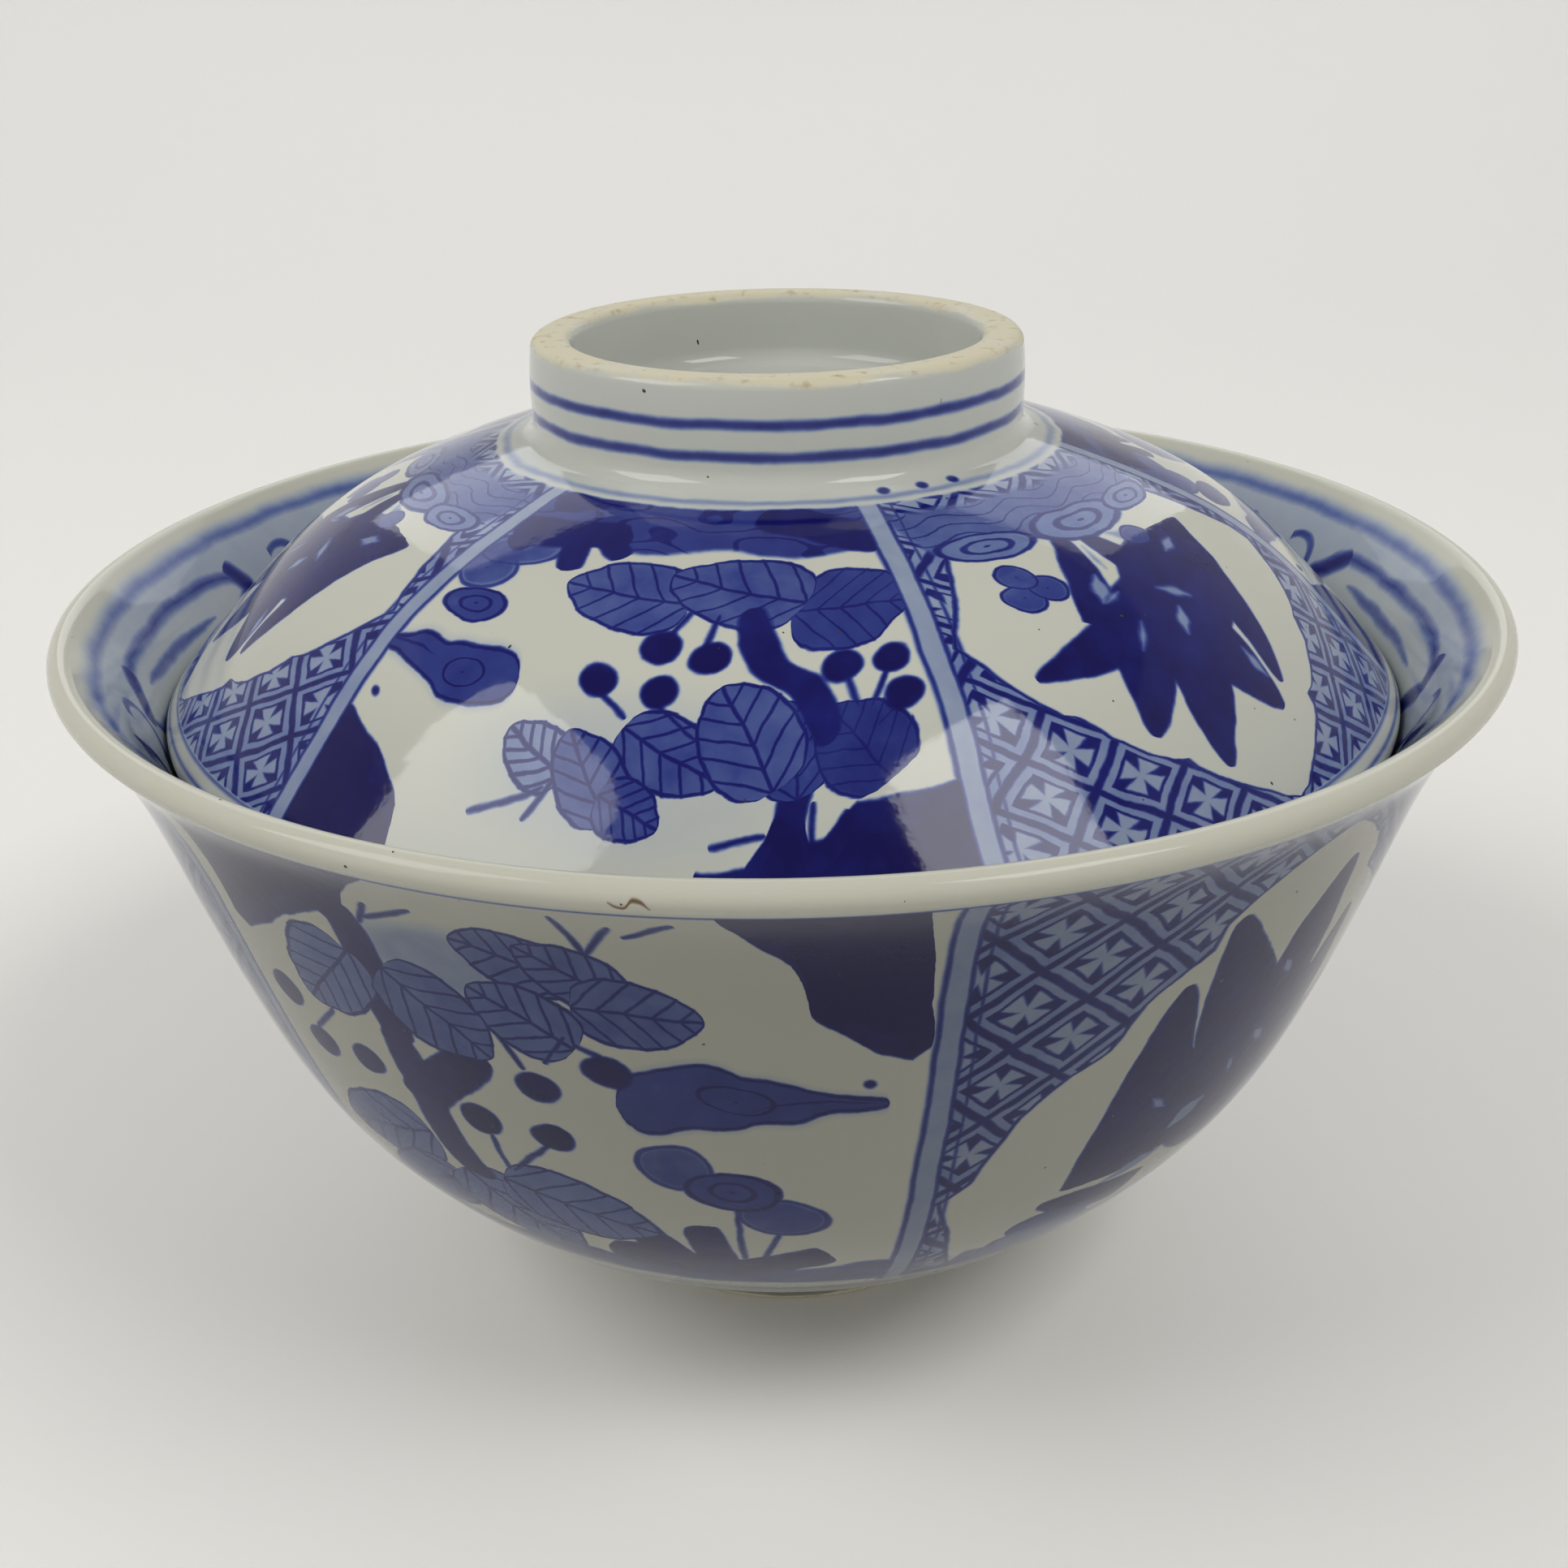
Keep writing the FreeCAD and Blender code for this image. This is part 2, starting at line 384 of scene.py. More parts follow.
LID_LEAFY = {
    "haze": ((1, 11), (13, 7), 0.06),  # centre, half sizes, tone
    "rocks": (
        (-32, 15), (-27, 14.6), (-24, 12.8), (-21.5, 11.8), (-20, 10.9), (-18, 9.9), (-16.6, 8.4),
        (-15.6, 7.4), (-15.1, 6.0), (-14.9, -1), (5.8, -1), (6.4, 5), (9.5, 5.2), (10.6, 7.2), (11.2, 9.4),
        (12.8, 9.8), (13.4, 7), (14.6, 7.2), (16.2, 9.2), (20, 9.6), (23, 10.4), (32, 11),
    ),
    "leaves": (  # base, tip, half width, tone
        ((2.6, 24.2), (-7.0, 25.6), 3.3, 0.50),
        ((9.2, 23.8), (17.4, 24.4), 3.7, 0.60),
        ((10.0, 24.6), (0.3, 27.2), 3.3, 0.50),
        ((-3.2, 10.2), (-7.8, 13.4), 2.2, 0.30),
        ((12.4, 9.8), (10.4, 16.4), 2.4, 0.56),
        ((18.3, 10.6), (13.2, 16.0), 3.0, 0.68),
        ((0.2, 14.2), (7.2, 10.6), 2.6, 0.48),
        ((10.6, 10.2), (6.0, 17.8), 3.2, 0.48),
        ((0.2, 7.6), (-3.4, 13.8), 2.5, 0.48),
        ((-0.6, 9.4), (3.8, 7.6), 2.0, 0.52),
    ),
    "trunk": ((13.8, 13.0), (6.2, 24.4), 1.2, ((0, 0), (0.3, -0.6), (0.6, 0.7), (1, 0))),
    "limbs": (
        ((11.8, 4.0), (12.2, 11.4), 1.1), ((-12.0, 33.6), (-4.5, 36.2), 1.3),
        ((15.0, 30.6), (4.5, 34.8), 1.6),
    ),
    "stems": (
        ((-2.2, 16.8), (0.2, 14.8)), ((2.2, 16.0), (5.2, 13.6)), ((1.6, 21.2), (2.8, 23.6)),
        ((4.2, 20.6), (4.5, 23.6)), ((14.0, 18.0), (15.2, 15.8)), ((16.6, 18.4), (15.9, 15.6)),
        ((17.6, 15.8), (16.6, 14.4)), ((-9.6, 7.2), (-4.4, 9.6)), ((-5.6, 7.2), (-3.8, 10.2)),
        ((7.0, 6.5), (10.6, 7.3)), ((13.8, 6.4), (13.4, 9.6)), ((14.4, 6.2), (15.8, 8.8)),
    ),
    "berries": (
        (-2.4, 17.6), (2.1, 17.1), (1.3, 20.4), (4.8, 19.8), (13.5, 19.0), (16.8, 19.5), (18.0, 16.6),
    ),
    "berry": (1.35, 1.25),
    "moth": ((-21.8, 17.3), (-7.8, 16.9), 2.15, ((0, 0), (0.3, 0.1), (0.6, -0.5), (1, 0))),
    "swirl": ((-12.4, 16.6), (1.7, 1.0)),
    "blooms": (((-14.2, 25.3), (2.5, 1.8)), ((-12.2, 27.9), (3.6, 1.6))),
    "eyed_bloom": ((-13.8, 21.9), (2.6, 1.4)),
    "grass": (
        ((-14.0, 29.8), (-3.6, 31.4), 1.5), ((-8.0, 31.6), (-7.6, 26.6), 1.15),
        ((-6.8, 32.0), (-3.8, 28.4), 1.1), ((-10.4, 30.6), (-13.6, 28.0), 0.9),
    ),
    "speck": (-19.8, 13.3),
    "water": (29.8, 36.4),
}
BOWL_LEAFY = {
    "haze": ((-4, 10), (9, 4), 0.24),
    "rocks": (
        (-32, -1), (-26.2, -1), (-25.7, 5), (-25, 13), (-23.5, 14), (-20, 12), (-16, 9.3), (-13.5, 8),
        (-12.5, 9), (-10.6, 6.6), (-10.1, 5), (-8.6, 3.2), (-6.5, 1.4), (-6, -1), (14.7, -1), (15.2, 2.6),
        (16.6, 5), (18.6, 7.4), (19.3, 12.4), (21, 14), (23.2, 16.2), (25, 16.9), (26.4, 15.6), (27.5, 3),
        (27.8, -1), (32, -1),
    ),
    "leaves": (
        ((-12.4, 11.4), (-18.8, 18.6), 3.9, 0.40),
        ((5.0, 9.8), (-3.1, 7.2), 2.8, 0.42),
        ((7.6, 11.4), (1.4, 6.8), 2.6, 0.44),
        ((4.0, 12.4), (12.6, 12.8), 3.1, 0.46),
        ((3.8, 16.4), (-3.2, 11.6), 3.1, 0.42),
        ((-9.8, 12.2), (-2.6, 18.9), 3.7, 0.44),
        ((-11.0, 30.2), (-21.4, 34.2), 4.0, 0.42),
        ((-9.5, 35.4), (-18.6, 41.4), 3.6, 0.42),
        ((-9.2, 33.6), (-1.8, 43.4), 4.1, 0.40),
        ((-5.8, 33.2), (5.6, 37.2), 4.0, 0.42),
        ((-17.0, 42.0), (-27.0, 45.0), 3.0, 0.40),
    ),
    "trunk": ((-11.0, 18.0), (-7.0, 34.4), 1.5, ((0, 0), (0.35, 0.3), (0.7, 1.1), (1, 0))),
    "limbs": (((-11.6, 6.0), (-10.2, 20.0), 1.6), ((-3.6, 18.4), (-11.0, 26.4), 1.9)),
    "stems": (
        ((-5.0, 27.5), (-4.8, 31.8)), ((-0.6, 27.5), (-4.6, 31.8)), ((-20.0, 22.6), (-16.6, 19.0)),
        ((-2.0, 15.6), (-0.2, 19.4)), ((1.3, 18.4), (3.2, 15.2)), ((5.4, 17.0), (3.6, 15.8)),
        ((-9.8, 8.0), (-8.6, 5.4)), ((-9.4, 7.2), (-4.8, 5.0)), ((5.1, 2.6), (6.1, 7.2)),
        ((8.4, 3.4), (6.1, 7.2)), ((8.8, 4.9), (12.6, 2.9)), ((11.8, 33.0), (11.0, 40.8)),
        ((14.4, 35.8), (12.2, 40.8)),
    ),
    "berries": (
        (-22, 19.5), (-19.9, 24.1), (-14.7, 23.5), (0.2, 21.0), (5.4, 18.4), (-5.5, 26.1), (0.0, 26.4),
    ),
    "berry": (1.6, 1.5),
    "moth": ((23.4, 21.0), (5.2, 21.2), 3.1, ((0, 0), (0.3, 0.3), (0.6, 0.9), (0.85, 0.1), (1, -0.4))),
    "swirl": ((13.6, 20.2), (2.4, 1.3)),
    "blooms": (((8.3, 28.0), (2.4, 2.4)), ((14.8, 33.7), (3.0, 2.3))),
    "eyed_bloom": ((11.9, 30.5), (3.1, 2.1)),
    "grass": (
        ((6.8, 42.6), (2.8, 34.2), 1.7), ((9.2, 43.0), (8.8, 35.0), 1.4), ((9.0, 43.4), (17.4, 39.8), 1.7),
        ((12.0, 43.4), (0.6, 41.0), 2.2),
    ),
    "speck": (22.2, 19.0),
    "water": (42.6, 48.0),
}

ROCK_SPAN = 64  # mm of the rim that the rocks' outline covers
ROCK_LOW, ROCK_HIGH = -1, 18  # mm from the rim that the outline stays between


def leafy_panel(p, plan):
    """A berry branch among big leaves, with rocks by the rim and water by the foot."""
    centre, half_sizes, tone = plan["haze"]
    p.ink = p.math("MULTIPLY", p.fade(p.oval(centre, half_sizes), 1.1, 0.5), tone)
    water(p, *plan["water"])
    for start, end, half_width in plan["limbs"]:
        p.blade(TONES["limb"], start, end, half_width, ROUND)
    flower_corner(p, plan)
    for base, tip, half_width, tone in plan["leaves"]:
        p.leaf(base, tip, half_width, tone)
    start, end, half_width, sway = plan["trunk"]
    p.blade(TONES["trunk"], start, end, half_width, ROUND, sway)
    for start, end in plan["stems"]:
        p.deepen(TONES["stem"], p.inside(p.stroke(start, end, 0.2, ROUND)))
    for centre in plan["berries"]:
        p.disc(TONES["berry"], centre, plan["berry"])
    rocks(p, plan["rocks"])
    p.disc(TONES["speck"], plan["speck"], (0.35, 0.35))
    return p.ink


def rocks(p, outline):
    """Dark rocks that reach from the rim to an outline of (x, y) corners."""
    x, y = p.paper
    rise = ROCK_HIGH - ROCK_LOW
    knots = [((at + ROCK_SPAN / 2) / ROCK_SPAN, (reach - ROCK_LOW) / rise) for at, reach in outline]
    reach = p.curve(p.math("MULTIPLY_ADD", x, 1 / ROCK_SPAN, 0.5), knots, sharp=True)
    off_rock = p.math("SUBTRACT", y, p.math("MULTIPLY_ADD", reach, rise, ROCK_LOW))
    p.lay(TONES["rock"], p.inside(off_rock))
    p.deepen(TONES["rock_heart"], p.fade(off_rock, -0.5, -2.4))


def water(p, top, bottom):
    """Rippled water by the foot, between two distances from the rim."""
    x, y = p.paper
    crest = p.math("MULTIPLY_ADD", p.wave(x, 0.55), 0.6, top)
    below_crest = p.fade(p.math("SUBTRACT", crest, y), 0.4, -0.4)
    area = p.math("MULTIPLY", below_crest, p.fade(y, bottom + 0.2, bottom - 1.4))
    p.lay(TONES["water"], area)
    swell = p.math("SINE", p.math("MULTIPLY_ADD", y, 1.9, p.math("MULTIPLY", x, 0.32)))
    ripple = p.math("ADD", p.math("MULTIPLY_ADD", swell, 0.7, y), p.wave(x, 0.8))
    line = p.fade(p.math("PINGPONG", ripple, 1.1), 0.5, 0.1)
    p.deepen(TONES["ripple"], p.math("MULTIPLY", area, line))


def flower_corner(p, plan):
    """A moth-shaped leaf, an eyed flower and a spray of dark grass."""
    start, end, half_width, bend = plan["moth"]
    body = p.stroke(start, end, half_width, MOTH, bend)
    p.deepen(TONES["moth_halo"], p.fade(body, 1.1, 0))
    p.lay(TONES["moth"], p.inside(body))
    p.rings(TONES["moth_line"], p.oval(*plan["swirl"], 0.3), 1)
    middle = ((start[0] + end[0]) / 2, (start[1] + end[1]) / 2)
    vein = p.stroke(start, middle, 0.26, TAPER, ((0, 0), (0.5, 0.4), (1, 0)))
    p.deepen(TONES["moth_vein"], p.inside(vein))
    p.deepen(TONES["moth_line"], p.hairline(body, 0.24))
    for centre, half_sizes in plan["blooms"]:
        p.disc(TONES["bloom"], centre, half_sizes, angle=0.3, soft=0.45)
        p.rings(TONES["bloom_line"], p.oval(centre, half_sizes, 0.3), 1)
    eye = p.oval(*plan["eyed_bloom"], 0.1)
    p.lay(TONES["eye"], p.fade(eye, 1.1, 0.9))
    p.rings(TONES["eye_line"], eye, 2)
    for start, end, half_width in plan["grass"]:
        p.blade(TONES["grass"], start, end, half_width, ROUND)


SCROLLS = ((-0.63, 4.0), (0.1, 5.0), (0.7, 3.6))  # share of the bank's half length, half width in mm
LID_RESERVE = {
    "outline": (  # distance from the rim, half width, with a cusp at the end of each lobe
        (2.6, -0.4), (3.2, 1.6), (4.6, 3.9), (6.2, 6.6), (7.3, 7.8), (8.2, 8.1), (8.5, 9.3), (9.2, 10.6),
        (11.0, 12.7), (12.9, 13.9), (13.3, 14.9), (14.5, 15.9), (16.5, 17.2), (19.4, 18.3), (22.0, 16.4),
        (25.0, 14.3), (28.0, 12.3), (28.4, -2),
    ),
    "widest": 18.3,
    "spikes": (  # tip, base, half width
        ((-14.9, 16.3), (-4.6, 17.9), 2.0), ((-9.3, 10.2), (-4.0, 18.6), 2.7),
        ((-4.9, 6.5), (-0.6, 16.6), 2.9), ((4.2, 8.2), (0.4, 17.4), 3.1), ((5.7, 9.7), (8.2, 25.2), 2.3),
        ((-1.9, 29.4), (-6.4, 18.8), 1.7), ((10.8, 24.6), (4.6, 17.0), 1.8),
        ((-0.8, 28.6), (1.6, 20.0), 1.7),
    ),
    "mounds": (((0.4, 18.4), (7.8, 4.2)), ((3.6, 21.6), (5.6, 3.6))),
    "chinks": (  # start, end, half width: thin glaze between the spikes
        ((-5.4, 16.0), (-3.4, 18.4), 0.3), ((-0.5, 16.0), (0.7, 18.6), 0.6),
        ((0.2, 20.8), (3.0, 18.7), 0.5), ((-5.2, 20.4), (-3.4, 23.6), 0.7),
        ((-5.0, 20.5), (-3.0, 21.3), 0.3), ((4.8, 22.6), (7.4, 23.6), 0.6), ((1.4, 26.8), (5.2, 24.0), 0.7),
        ((3.6, 13.8), (4.6, 10.6), 0.5), ((-2.2, 23.4), (-1.6, 26.4), 0.25),
    ),
    "blooms": (
        ((-10.4, 22.7), (1.5, 1.35)), ((-7.9, 23.3), (1.5, 1.35)), ((-9.3, 24.9), (1.5, 1.3)),
        ((4.2, 25.2), (1.5, 1.2)),
    ),
    "bank": (28.6, 13.2),  # top, half length
    "diaper": ((-15.9, 4.85), 7.4, 6.1),  # a cell's centre, and the steps across and along to the next
}
BOWL_RESERVE = {
    "outline": (
        (4.2, -0.4), (4.8, 1.5), (6.3, 4), (8.4, 7), (10.5, 8.9), (12.8, 9.2), (14, 11), (16, 13.5),
        (18.5, 14.3), (19.8, 14.9), (21.5, 17.5), (25, 20), (29, 21.3), (31.5, 21.8), (33.5, 23.3),
        (37, 21.8), (41, 20), (45, 18), (47.6, 16.5), (48, -2),
    ),
    "widest": 23.3,
    "spikes": (
        ((-9.8, 15.4), (-8.6, 36.4), 4.4), ((-7.6, 10.4), (0.5, 28.0), 4.6), ((4.4, 9.2), (1.6, 28.0), 4.4),
        ((9.8, 16.6), (5.4, 34.0), 3.4), ((14.6, 24.4), (4.0, 38.0), 2.8),
        ((-14.2, 37.6), (-4.0, 40.6), 2.2),
    ),
    "mounds": (((-2.4, 29.0), (8.6, 6.4)), ((3.2, 33.6), (7.0, 5.0))),
    "chinks": (
        ((1.0, 17.6), (2.6, 20.0), 0.6), ((1.4, 25.0), (3.6, 27.0), 0.7), ((-8.4, 27.4), (-6.2, 29.4), 0.5),
        ((-4.6, 33.0), (-1.2, 30.6), 1.1), ((-9.0, 37.4), (-3.0, 35.4), 0.9),
        ((-0.6, 26.6), (0.8, 29.4), 0.4), ((4.8, 35.8), (8.2, 33.6), 0.8),
    ),
    "blooms": (
        ((-12.6, 41.0), (2.2, 1.7)), ((-9.4, 41.6), (2.2, 1.7)), ((6.5, 40.4), (2.4, 1.8)),
        ((9.6, 41.4), (2.2, 1.7)),
    ),
    "bank": (43.4, 17.4),
    "diaper": ((-22.9, 6.5), 8.4, 7.15),
}


def reserve_panel(p, plan):
    """A scalloped white reserve on a diaper ground, with a spiky plant over a scrolled bank."""
    diaper(p, *plan["diaper"])
    border = off_scallops(p, plan["outline"], plan["widest"])
    p.lay(0.0, p.inside(border))
    for tip, base, half_width in plan["spikes"]:
        p.blade(TONES["spike"], tip, base, half_width, SPIKE)
    for centre, half_sizes in plan["mounds"]:
        p.disc(TONES["mound"], centre, half_sizes, angle=0.12)
    for start, end, half_width in plan["chinks"]:
        p.blade(TONES["chink"], start, end, half_width, SLIT, soft=0.34)
    for centre, half_sizes in plan["blooms"]:
        p.disc(TONES["bloom"], centre, half_sizes, soft=0.25)
        p.rings(TONES["trefoil_line"], p.oval(centre, half_sizes), 1)
    bank(p, *plan["bank"])
    p.deepen(TONES["border"], p.hairline(border, 0.2))
    return p.ink


def off_scallops(p, outline, widest):
    """Signed distance across the panel to an outline of (distance from the rim, half width) corners."""
    x, y = p.paper
    start, end = outline[0][0], outline[-1][0]
    share = p.math("MULTIPLY_ADD", y, 1 / (end - start), -start / (end - start))
    knots = [((at - start) / (end - start), half_width / widest) for at, half_width in outline]
    half_width = p.curve(share, knots, sharp=True)
    return p.math("MULTIPLY_ADD", half_width, -widest, p.math("ABSOLUTE", x))


def diaper(p, centre, step_across, step_along):
    """A slanting lattice with a pale four-petalled flower in a dark square in each cell.

    far and near are the larger and the smaller slanting distance from a cell's middle, 0.5 at its border.
    """
    a, b = 1 / step_across, 1 / step_along
    x, y = centre
    slants = p.weigh(a, b, -x * a - y * b), p.weigh(a, -b, y * b - x * a)
    off_middle = [p.math("PINGPONG", slant, 0.5) for slant in slants]
    far, near = p.math("MAXIMUM", *off_middle), p.math("MINIMUM", *off_middle)
    ground = TONES["ground"]
    p.ink = p.math("MULTIPLY_ADD", p.fade(far, 0.42, 0.47), TONES["lattice"] - ground, ground)
    p.deepen(TONES["square"], p.fade(far, 0.365, 0.315))
    notch = p.fade(p.math("MULTIPLY_ADD", far, -0.42, near), 0.075, 0.01)
    p.lay(TONES["petal"], p.math("MULTIPLY", notch, p.fade(far, 0.315, 0.265)))


def bank(p, top, half_length):
    """Long scrolls over rows of ripples, along the foot of the reserve."""
    x, y = p.paper
    swell = p.math("MULTIPLY_ADD", p.wave(x, 0.7), 0.5, top)
    below_top = p.fade(p.math("SUBTRACT", swell, y), 0.3, -0.3)
    area = p.math("MULTIPLY", below_top, p.fade(y, top + 5.6, top + 4.6))
    area = p.math("MULTIPLY", area, p.fade(p.math("ABSOLUTE", x), half_length, half_length - 0.8))
    p.lay(TONES["bank"], area)
    ripple = p.math("ADD", y, p.math("MULTIPLY", p.wave(x, 0.9), 0.45))
    line = p.fade(p.math("PINGPONG", ripple, 0.6), 0.24, 0.0)
    p.deepen(TONES["bank_ripple"], p.math("MULTIPLY", area, line))
    for share, half_size in SCROLLS:
        scroll = p.oval((share * half_length, top), (half_size, 0.36 * half_size))
        p.lay(TONES["scroll"], p.fade(scroll, 1.06, 0.94))
        p.rings(TONES["scroll_line"], scroll, 2)


def panel_group(name, draw, plan):
    """A node group that turns a place on a panel, in mm, into a density of cobalt.

    It works in single numbers, because vector nodes use up the renderer's stack.
    """
    tree = bpy.data.node_groups.new(name, "ShaderNodeTree")
    for side in ("Across", "Along"):
        tree.interface.new_socket(side, in_out="INPUT", socket_type="NodeSocketFloat")
    tree.interface.new_socket("Ink", in_out="OUTPUT", socket_type="NodeSocketFloat")
    place = tree.nodes.new("NodeGroupInput").outputs
    ink = draw(Painting(tree, (place[0], place[1])), plan)
    tree.links.new(ink, tree.nodes.new("NodeGroupOutput").inputs[0])
    return tree


# ---------------------------------------------------------------- materials

COBALT = (  # density, colour under the glaze
    (0.14, (0.38, 0.435, 0.505)),
    (0.35, (0.125, 0.175, 0.385)),
    (0.55, (0.030, 0.048, 0.245)),
    (0.80, (0.008, 0.010, 0.150)),
    (1.0, (0.0045, 0.0025, 0.085)),
)
LID_WHITE = (0.57, 0.578, 0.515)
BOWL_WHITE = (0.58, 0.58, 0.50)
CLAY = (  # grain, colour
    (0.24, (0.42, 0.31, 0.17)),
    (0.42, (0.64, 0.60, 0.45)),
)
PINHOLE = (0.05, 0.04, 0.03, 1)
STAIN = (0.13, 0.085, 0.04, 1)
GLAZE_ROUGHNESS, CLAY_ROUGHNESS = 0.06, 0.62
GLAZE_IOR = 1.52
RELIEF = 0.00006  # metres for a height of 1
BAND_WASH = 0.24
BAND_LINE = 0.8
BAND_LINES = ((-0.85, 0.18), (0.85, 0.18), (1.75, 0.14))  # mm past a panel's side, half width


class Glaze(Painting):
    """The finish of a whole piece: its painted panels, its bands and its bare clay."""

    def __init__(self, name, leafy_angle):
        self.material = bpy.data.materials.new(name)
        self.material.use_nodes = True
        super().__init__(self.material.node_tree)
        self.tree.nodes.clear()
        self.angle, self.distance = self.uv("turn")
        self.radius, self.height = self.uv("reach")
        self.leafy_angle = leafy_angle
        self.wander = [self.math("ADD", self.noise(scale, 5.0), -0.5) for scale in (170, 220)]

    def uv(self, name):
        parts = self.node("SeparateXYZ", self.node("UVMap", uv_map=name).outputs[0]).outputs
        return parts[0], parts[1]

    def turned(self, turn, period):
        """The angle round the piece from turn, starting again every period."""
        return self.math("WRAP", self.math("ADD", self.angle, -turn), period / 2, -period / 2)

    def around(self, turn, period=2 * math.pi):
        """Mm round the piece from turn, starting again every period."""
        return self.math("MULTIPLY", self.turned(turn, period), self.radius)

    def panel(self, group, turn):
        """One panel's ink. turn is the middle of one such panel."""
        made = self.node("Group", node_tree=group)
        places = self.around(turn, 4 * HALF_PANEL), self.distance
        for place, wander, socket in zip(places, self.wander, made.inputs):
            self.tree.links.new(self.math("MULTIPLY_ADD", wander, 1.2, place), socket)
        return made.outputs[0]

    def panels(self, leafy, reserve):
        """Leafy and reserve panels by turns, with ruled bands between them."""
        off_leafy = self.math("ABSOLUTE", self.turned(self.leafy_angle, 4 * HALF_PANEL))
        past = self.math("MULTIPLY", self.math("SUBTRACT", off_leafy, HALF_PANEL), self.radius)
        past = self.math("MULTIPLY_ADD", self.wander[0], 0.7, past)
        self.ink = self.panel(leafy, self.leafy_angle)
        self.lay(self.panel(reserve, self.leafy_angle + 2 * HALF_PANEL), self.fade(past, -0.05, 0.05))
        self.lay(BAND_WASH, self.fade(self.math("ABSOLUTE", past), 0.95, 0.7))
        for at, half_width in BAND_LINES:
            self.band(BAND_LINE, past, at, half_width, 0.3)

    def band(self, tone, value, at, half_width, soft=0.2):
        """A painted line where value is at, of the given half width."""
        self.deepen(tone, self.hairline(self.math("ADD", value, -at), half_width, soft))

    def brushed(self):
        """The ink with the pooling and the brush's uneven load in it."""
        pool = self.math("MULTIPLY_ADD", self.math("ADD", self.noise(60, 3.0), -0.5), 0.36, 1.0)
        load = self.math("MULTIPLY_ADD", self.math("ADD", self.noise(420, 3.0), -0.5), 0.42, pool)
        return self.math("MULTIPLY", self.ink, load)

    def ramp(self, value, stops):
        """A colour for a value, from stops of (value, colour)."""
        made = self.node("ValToRGB", value)
        elements = made.color_ramp.elements
        while len(elements) < len(stops):
            elements.new(0.5)
        for element, (at, colour) in zip(elements, stops):
            element.position = at
            element.color = (*colour, 1)
        return made.outputs[0]

    def finish(self, white, bare, shine, stain=None, painted_shade=None):
        """The whole finish. bare is 1 where the clay has no glaze, stain is 1 where a flaw is brown.

        The last argument, if given, is the share of the colour's brightness kept where shade is painted into
        it.
        """
        glazed = self.ramp(self.brushed(), ((0.0, white), *COBALT))
        # painted shade: the colour, cobalt and all, is darkened to the given share of its brightness
        if painted_shade:
            glazed = self.node("HueSaturation", None, None, painted_shade, None, glazed).outputs[0]
        grain = self.noise(900, 3.0)
        colour = self.mix_colour(bare, glazed, self.ramp(grain, CLAY))
        pinhole = self.fade(self.noise(1300, 1.0), 0.80, 0.82)
        colour = self.mix_colour(pinhole, colour, PINHOLE)
        if stain:
            colour = self.mix_colour(stain, colour, STAIN)
        roughness = self.node("MapRange", bare, 0.0, 1.0, GLAZE_ROUGHNESS, CLAY_ROUGHNESS).outputs[0]
        shader = self.node("BsdfPrincipled")
        self.tree.links.new(colour, shader.inputs["Base Color"])
        self.tree.links.new(roughness, shader.inputs["Roughness"])
        self.tree.links.new(self.relief(grain, bare), shader.inputs["Normal"])
        shader.inputs["IOR"].default_value = GLAZE_IOR
        shader.inputs["Specular IOR Level"].default_value = shine
        self.tree.links.new(shader.outputs[0], self.node("OutputMaterial").inputs[0])
        return self.material

    def relief(self, grain, bare):
        """The glaze's slight ripple, and the clay's grain where it is bare."""
        broad = self.math("MULTIPLY", self.noise(230, 2.0), 0.8)
        ripple = self.math("MULTIPLY_ADD", self.noise(800, 2.0), 0.36, broad)
        height = self.math("MULTIPLY_ADD", self.math("MULTIPLY", grain, bare), 0.5, ripple)
        bump = self.node("Bump")
        bump.inputs["Strength"].default_value = 0.4
        bump.inputs["Distance"].default_value = RELIEF
        self.tree.links.new(height, bump.inputs["Height"])
        return bump.outputs[0]

    def mix_colour(self, mask, under, over):
        made = self.node("Mix", data_type="RGBA")
        for socket, value in ((0, mask), (6, under), (7, over)):
            if isinstance(value, bpy.types.NodeSocket):
                self.tree.links.new(value, made.inputs[socket])
            else:
                made.inputs[socket].default_value = value
        return made.outputs[2]


RING_DOTS = (20.5, 29, 36.5)  # degrees from the front
RING_LINES = (78.85, 76.5)  # mm above the table
RING_TOP = 82.0  # mm above the table
RING_FOOT = 35.0  # mm from the lid's widest circle


